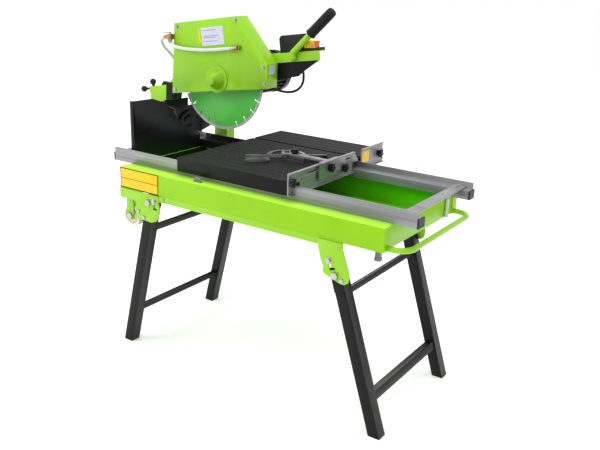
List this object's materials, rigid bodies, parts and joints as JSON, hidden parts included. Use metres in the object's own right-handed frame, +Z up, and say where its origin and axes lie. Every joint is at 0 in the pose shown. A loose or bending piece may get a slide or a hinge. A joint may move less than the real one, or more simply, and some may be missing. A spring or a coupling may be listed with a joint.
{
  "type": "wet tile and stone saw",
  "caption": "Wet stone and tile saw on folding legs: rolling table with fence and mitre gauge, water tub, and a tilting, plunging blade head with motor.",
  "frame": {"origin": "middle of the bounding box at floor level", "axes": "+X along the tub from the cutting head's pivot to the tow handle, +Y from the operator's side to the motor, +Z up"},
  "size_m": [1.3588, 0.744, 1.103],
  "materials": {
    "green_paint": "gloss powder coat",
    "black_paint": "satin powder coat",
    "black_sheet": "gloss black sheet",
    "rail_aluminium": "extruded, satin",
    "fence_aluminium": "brushed",
    "zinc": "zinc plated",
    "black_plastic": "moulded",
    "drain_grey": "moulded",
    "clear_hose": "translucent white",
    "yellow_panel": "smooth",
    "cream_plastic": "moulded",
    "mat_rubber": "ribbed rubber",
    "motor_black": "black paint on a finned casting",
    "valve_brass": "turned",
    "cable_rubber": "smooth sheath",
    "blade_steel": "printed core, bright rim",
    "rotor_steel": "machined",
    "button_green": "moulded",
    "button_red": "moulded"
  },
  "bodies": {
    "frame": {"tub": "green_paint", "base_frame": "green_paint", "hinge_plates": "green_paint", "frame_bolts": "zinc", "rails": "rail_aluminium", "rail_end_plugs": "black_plastic", "crossbars": "rail_aluminium", "tow_handle": "green_paint", "drain_fitting": "drain_grey", "splash_guard": "black_sheet", "tilt_bracket": "black_paint", "level_tube": "clear_hose", "side_panel": "yellow_panel"},
    "left_legs": {"left_leg_frame": "black_paint"},
    "right_legs": {"right_leg_frame": "black_paint"},
    "front_wheel": {"front_wheel": "cream_plastic"},
    "rear_wheel": {"rear_wheel": "cream_plastic"},
    "drain_plug": {"drain_plug": "drain_grey"},
    "table": {"table_tray": "black_paint", "table_mat": "mat_rubber", "fence": "fence_aluminium", "roller_axles": "zinc"},
    "front_left_roller": {"front_left_roller": "black_plastic"},
    "front_right_roller": {"front_right_roller": "black_plastic"},
    "rear_left_roller": {"rear_left_roller": "black_plastic"},
    "rear_right_roller": {"rear_right_roller": "black_plastic"},
    "fence_front_knob": {"fence_front_knob": "black_plastic"},
    "fence_rear_knob": {"fence_rear_knob": "black_plastic"},
    "gauge_carriage": {"gauge_carriage": "fence_aluminium"},
    "carriage_knob": {"carriage_knob": "black_plastic"},
    "bar_knob": {"bar_knob": "black_plastic"},
    "gauge_arm": {"gauge_arms": "fence_aluminium"},
    "angle_knob": {"angle_knob": "black_plastic"},
    "tilt_frame": {"tilt_frame": "black_paint", "plunge_shaft": "zinc"},
    "tilt_knob": {"tilt_knob": "black_plastic"},
    "head": {"head_frame": "green_paint", "handle_gusset": "black_paint", "guard_shell": "green_paint", "guard_flap": "mat_rubber", "arbor_cover": "green_paint", "guard_screws": "zinc", "motor_housing": "motor_black", "motor_cover": "black_plastic", "motor_bearings": "zinc", "handle_grip": "mat_rubber", "switch_box": "black_plastic", "valve_body": "valve_brass", "water_hoses": "clear_hose", "motor_cable": "cable_rubber"},
    "spindle": {"blade": "blade_steel", "blade_flanges": "zinc", "motor_rotor": "rotor_steel"},
    "switch_flap": {"switch_flap": "yellow_panel"},
    "start_button": {"start_button": "button_green"},
    "stop_button": {"stop_button": "button_red"},
    "valve_lever": {"valve_lever": "zinc"},
    "pivot_knob": {"pivot_knob": "black_plastic"},
    "depth_knob": {"depth_knob": "black_plastic"}
  },
  "joints": [
    {"name": "left_leg_fold", "type": "hinge", "parent": "frame", "child": "left_legs", "pos_m": [-0.20655, -0.134, 0.512], "axis": [0, -1, 0], "range_deg": [0, 103]},
    {"name": "right_leg_fold", "type": "hinge", "parent": "frame", "child": "right_legs", "pos_m": [0.47445, -0.134, 0.446], "axis": [0, 1, 0], "range_deg": [0, 108]},
    {"name": "front_wheel_spin", "type": "hinge", "parent": "frame", "child": "front_wheel", "pos_m": [-0.30155, -0.336, 0.447], "axis": [0, 1, 0], "continuous": true},
    {"name": "rear_wheel_spin", "type": "hinge", "parent": "frame", "child": "rear_wheel", "pos_m": [-0.30155, 0.068, 0.447], "axis": [0, 1, 0], "continuous": true},
    {"name": "drain_plug_pull", "type": "slide", "parent": "frame", "child": "drain_plug", "axis": [0, 0, -1], "range_m": [0, 0.04]},
    {"name": "table_slide", "type": "slide", "parent": "frame", "child": "table", "axis": [1, 0, 0], "range_m": [-0.2, 0.31]},
    {"name": "front_left_roll", "type": "hinge", "parent": "table", "child": "front_left_roller", "pos_m": [-0.08455, -0.294, 0.6423], "axis": [0, 1, 0], "range_deg": [-1400, 2100]},
    {"name": "front_right_roll", "type": "hinge", "parent": "table", "child": "front_right_roller", "pos_m": [0.25545, -0.294, 0.6423], "axis": [0, 1, 0], "range_deg": [-1400, 2100]},
    {"name": "rear_left_roll", "type": "hinge", "parent": "table", "child": "rear_left_roller", "pos_m": [-0.08455, 0.026, 0.6423], "axis": [0, 1, 0], "range_deg": [-1400, 2100]},
    {"name": "rear_right_roll", "type": "hinge", "parent": "table", "child": "rear_right_roller", "pos_m": [0.25545, 0.026, 0.6423], "axis": [0, 1, 0], "range_deg": [-1400, 2100]},
    {"name": "fence_front_knob_turn", "type": "hinge", "parent": "table", "child": "fence_front_knob", "pos_m": [0.30045, -0.326, 0.661], "axis": [1, 0, 0], "continuous": true},
    {"name": "fence_rear_knob_turn", "type": "hinge", "parent": "table", "child": "fence_rear_knob", "pos_m": [0.30045, 0.172, 0.655], "axis": [1, 0, 0], "continuous": true},
    {"name": "gauge_slide", "type": "slide", "parent": "table", "child": "gauge_carriage", "axis": [0, 1, 0], "range_m": [-0.04, 0.04]},
    {"name": "carriage_knob_turn", "type": "hinge", "parent": "gauge_carriage", "child": "carriage_knob", "pos_m": [0.30545, -0.141, 0.669], "axis": [1, 0, 0], "continuous": true},
    {"name": "bar_knob_turn", "type": "hinge", "parent": "gauge_carriage", "child": "bar_knob", "pos_m": [0.30545, -0.064, 0.654], "axis": [1, 0, 0], "continuous": true},
    {"name": "gauge_swing", "type": "hinge", "parent": "gauge_carriage", "child": "gauge_arm", "pos_m": [0.15245, -0.142, 0.684], "axis": [0, 0, 1], "range_deg": [-45, 15]},
    {"name": "angle_knob_turn", "type": "hinge", "parent": "gauge_carriage", "child": "angle_knob", "pos_m": [0.18245, -0.142, 0.69], "axis": [0, 0, 1], "continuous": true},
    {"name": "head_tilt", "type": "hinge", "parent": "frame", "child": "tilt_frame", "pos_m": [-0.41555, 0.054, 0.6585], "axis": [1, 0, 0], "range_deg": [0, 45]},
    {"name": "tilt_knob_turn", "type": "hinge", "parent": "tilt_frame", "child": "tilt_knob", "pos_m": [-0.41955, 0.054, 0.7045], "axis": [-1, 0, 0], "continuous": true},
    {"name": "head_plunge", "type": "hinge", "parent": "tilt_frame", "child": "head", "pos_m": [-0.58655, 0.103, 0.762], "axis": [0, -1, 0], "range_deg": [-4, 14]},
    {"name": "blade_spin", "type": "hinge", "parent": "head", "child": "spindle", "pos_m": [-0.26055, 0.054, 0.84754], "axis": [0, 1, 0], "continuous": true},
    {"name": "switch_flap_open", "type": "hinge", "parent": "head", "child": "switch_flap", "pos_m": [0.05046, 0.097, 0.99354], "axis": [0, -1, 0], "range_deg": [0, 80]},
    {"name": "start_press", "type": "slide", "parent": "head", "child": "start_button", "axis": [0.1461, 0, -0.9893], "range_m": [0, 0.003], "stiffness_N_per_m": 300},
    {"name": "stop_press", "type": "slide", "parent": "head", "child": "stop_button", "axis": [0.1461, 0, -0.9893], "range_m": [0, 0.0035], "stiffness_N_per_m": 300},
    {"name": "valve_turn", "type": "hinge", "parent": "head", "child": "valve_lever", "pos_m": [-0.46316, 0.016, 0.98744], "axis": [-0.1461, 0, 0.9893], "range_deg": [0, 90]},
    {"name": "pivot_knob_turn", "type": "hinge", "parent": "head", "child": "pivot_knob", "pos_m": [-0.65953, 0.088, 0.76335], "axis": [-0.9893, 0, -0.1461], "continuous": true},
    {"name": "depth_knob_turn", "type": "hinge", "parent": "head", "child": "depth_knob", "pos_m": [-0.62061, 0.088, 0.7873], "axis": [-0.1461, 0, 0.9893], "continuous": true}
  ],
  "couplings": [
    {"joint": "front_left_roll", "follows": "table_slide", "rad_per_m": 111.11},
    {"joint": "front_right_roll", "follows": "table_slide", "rad_per_m": 111.11},
    {"joint": "rear_left_roll", "follows": "table_slide", "rad_per_m": 111.11},
    {"joint": "rear_right_roll", "follows": "table_slide", "rad_per_m": 111.11}
  ]
}
